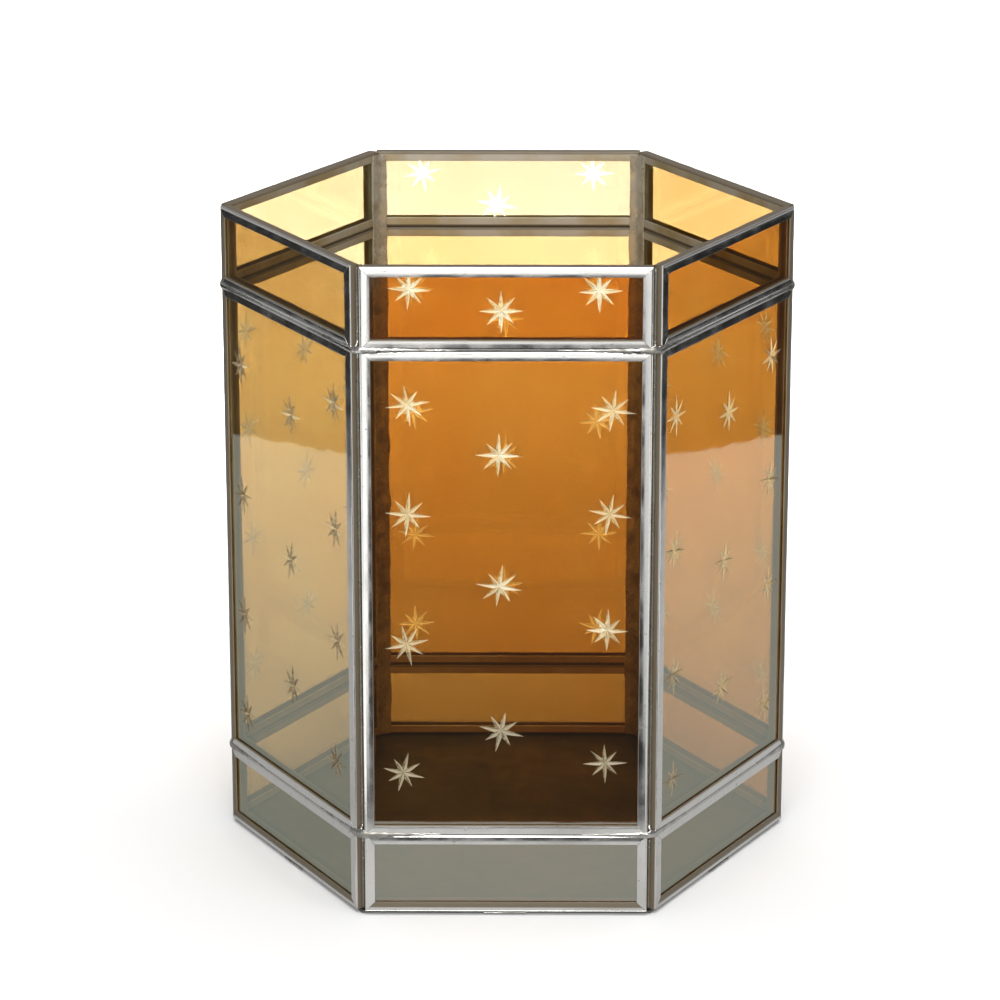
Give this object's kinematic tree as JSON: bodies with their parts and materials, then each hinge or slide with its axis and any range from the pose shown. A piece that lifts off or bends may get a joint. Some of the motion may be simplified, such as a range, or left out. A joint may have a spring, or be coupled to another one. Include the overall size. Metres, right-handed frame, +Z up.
{
  "type": "tealight holder",
  "caption": "Open-topped hexagonal tealight lantern of star-cut amber glass panes in soldered plated channel frames, in short, tall and short tiers on a sheet-metal floor.",
  "frame": {"origin": "centre of the underside of the floor plate, on the table", "axes": "+Z up through the open top, -Y towards the front face, +X to the right-hand corner seen from the front"},
  "size_m": [0.1986, 0.1744, 0.2267],
  "materials": {
    "amber_glass": "polished amber glass with wheel-cut stars",
    "plated_frame": "bright plated sheet, lightly tarnished",
    "solder": "dull grey solder",
    "floor_sheet": "dull dark sheet"
  },
  "bodies": {
    "root": {"floor_plate": "floor_sheet", "tack_right_back": "solder", "tack_back": "solder", "tack_left_back": "solder", "tack_left_front": "solder", "tack_front": "solder", "tack_right_front": "solder", "frame_bottom_right_back": "plated_frame", "pane_bottom_right_back": "amber_glass", "frame_bottom_back": "plated_frame", "pane_bottom_back": "amber_glass", "frame_bottom_left_back": "plated_frame", "pane_bottom_left_back": "amber_glass", "frame_bottom_left_front": "plated_frame", "pane_bottom_left_front": "amber_glass", "frame_bottom_front": "plated_frame", "pane_bottom_front": "amber_glass", "frame_bottom_right_front": "plated_frame", "pane_bottom_right_front": "amber_glass", "frame_middle_right_back": "plated_frame", "pane_middle_right_back": "amber_glass", "frame_middle_back": "plated_frame", "pane_middle_back": "amber_glass", "frame_middle_left_back": "plated_frame", "pane_middle_left_back": "amber_glass", "frame_middle_left_front": "plated_frame", "pane_middle_left_front": "amber_glass", "frame_middle_front": "plated_frame", "pane_middle_front": "amber_glass", "frame_middle_right_front": "plated_frame", "pane_middle_right_front": "amber_glass", "frame_top_right_back": "plated_frame", "pane_top_right_back": "amber_glass", "frame_top_back": "plated_frame", "pane_top_back": "amber_glass", "frame_top_left_back": "plated_frame", "pane_top_left_back": "amber_glass", "frame_top_left_front": "plated_frame", "pane_top_left_front": "amber_glass", "frame_top_front": "plated_frame", "pane_top_front": "amber_glass", "frame_top_right_front": "plated_frame", "pane_top_right_front": "amber_glass", "solder_right": "solder", "fillet_right": "solder", "solder_back_right": "solder", "fillet_back_right": "solder", "solder_back_left": "solder", "fillet_back_left": "solder", "solder_left": "solder", "fillet_left": "solder", "solder_front_left": "solder", "fillet_front_left": "solder", "solder_front_right": "solder", "fillet_front_right": "solder"}
  },
  "joints": []
}
